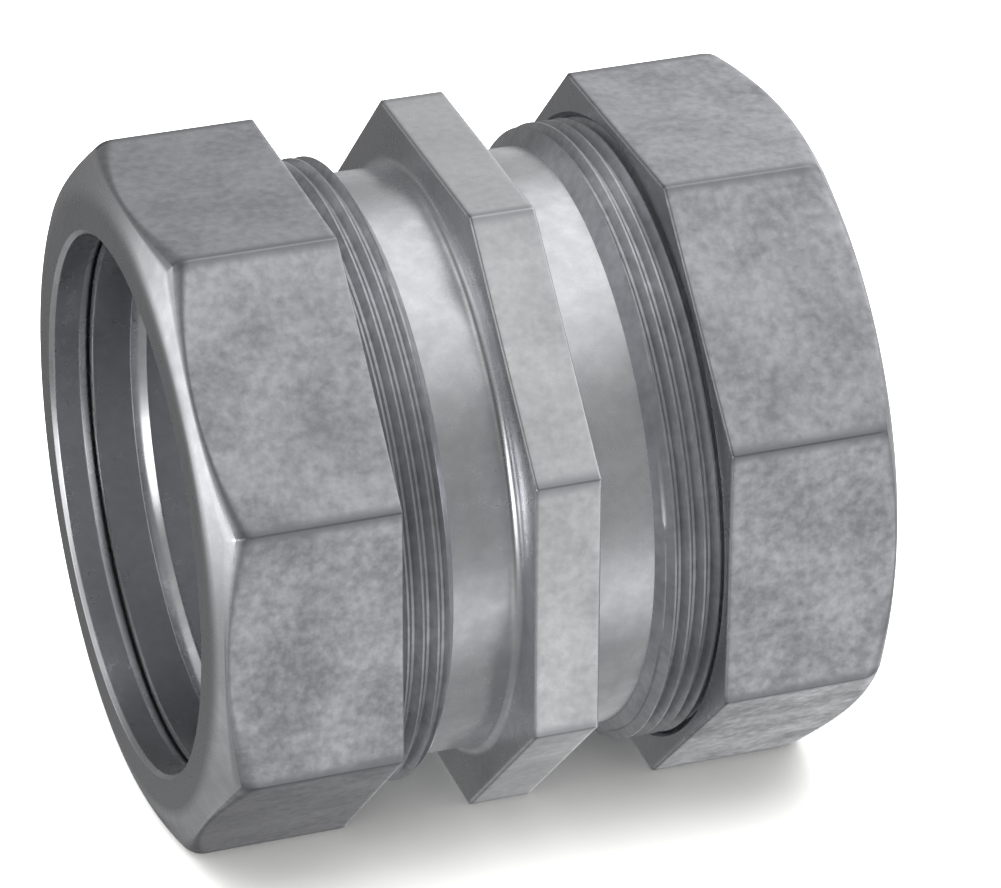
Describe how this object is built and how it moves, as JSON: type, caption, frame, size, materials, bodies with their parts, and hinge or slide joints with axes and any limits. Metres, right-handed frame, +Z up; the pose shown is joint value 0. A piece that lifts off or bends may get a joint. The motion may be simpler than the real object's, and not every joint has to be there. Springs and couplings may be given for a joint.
{
  "type": "conduit compression coupling",
  "caption": "Threaded steel coupling with octagonal nuts that squeeze split rings onto conduit pushed in from both ends.",
  "frame": {"origin": "middle of the coupling, on the conduit's axis at the centre of the conduit stop", "axes": "+X along the conduit's axis towards the right-hand nut, +Z up, with the coupling lying on one wrench flat of the flange and of each nut, +Y away from a viewer in front"},
  "size_m": [0.0734, 0.07, 0.07],
  "materials": {
    "plated_body_steel": "zinc-plated turned steel, satin",
    "plated_nut_steel": "zinc-plated wrought steel, satin and mottled",
    "plated_ring_steel": "zinc-plated steel, satin"
  },
  "bodies": {
    "coupling_body": {"coupling_body": "plated_body_steel"},
    "left_compression_nut": {"left_compression_nut": "plated_nut_steel"},
    "right_compression_nut": {"right_compression_nut": "plated_nut_steel"},
    "left_compression_ring": {"left_compression_ring": "plated_ring_steel"},
    "right_compression_ring": {"right_compression_ring": "plated_ring_steel"}
  },
  "joints": [
    {"name": "left_nut_turn", "type": "hinge", "parent": "left_compression_ring", "child": "left_compression_nut", "pos_m": [0, 0, 0], "axis": [-1, 0, 0], "range_deg": [0, 2520]},
    {"name": "left_nut_travel", "type": "slide", "parent": "coupling_body", "child": "left_compression_ring", "axis": [-1, 0, 0], "range_m": [0, 0.01111]},
    {"name": "right_nut_turn", "type": "hinge", "parent": "right_compression_ring", "child": "right_compression_nut", "pos_m": [0, 0, 0], "axis": [1, 0, 0], "range_deg": [0, 2520]},
    {"name": "right_nut_travel", "type": "slide", "parent": "coupling_body", "child": "right_compression_ring", "axis": [1, 0, 0], "range_m": [0, 0.01111]}
  ],
  "couplings": [
    {"joint": "left_nut_travel", "follows": "left_nut_turn", "m_per_rad": 0.00025266},
    {"joint": "right_nut_travel", "follows": "right_nut_turn", "m_per_rad": 0.00025266}
  ]
}
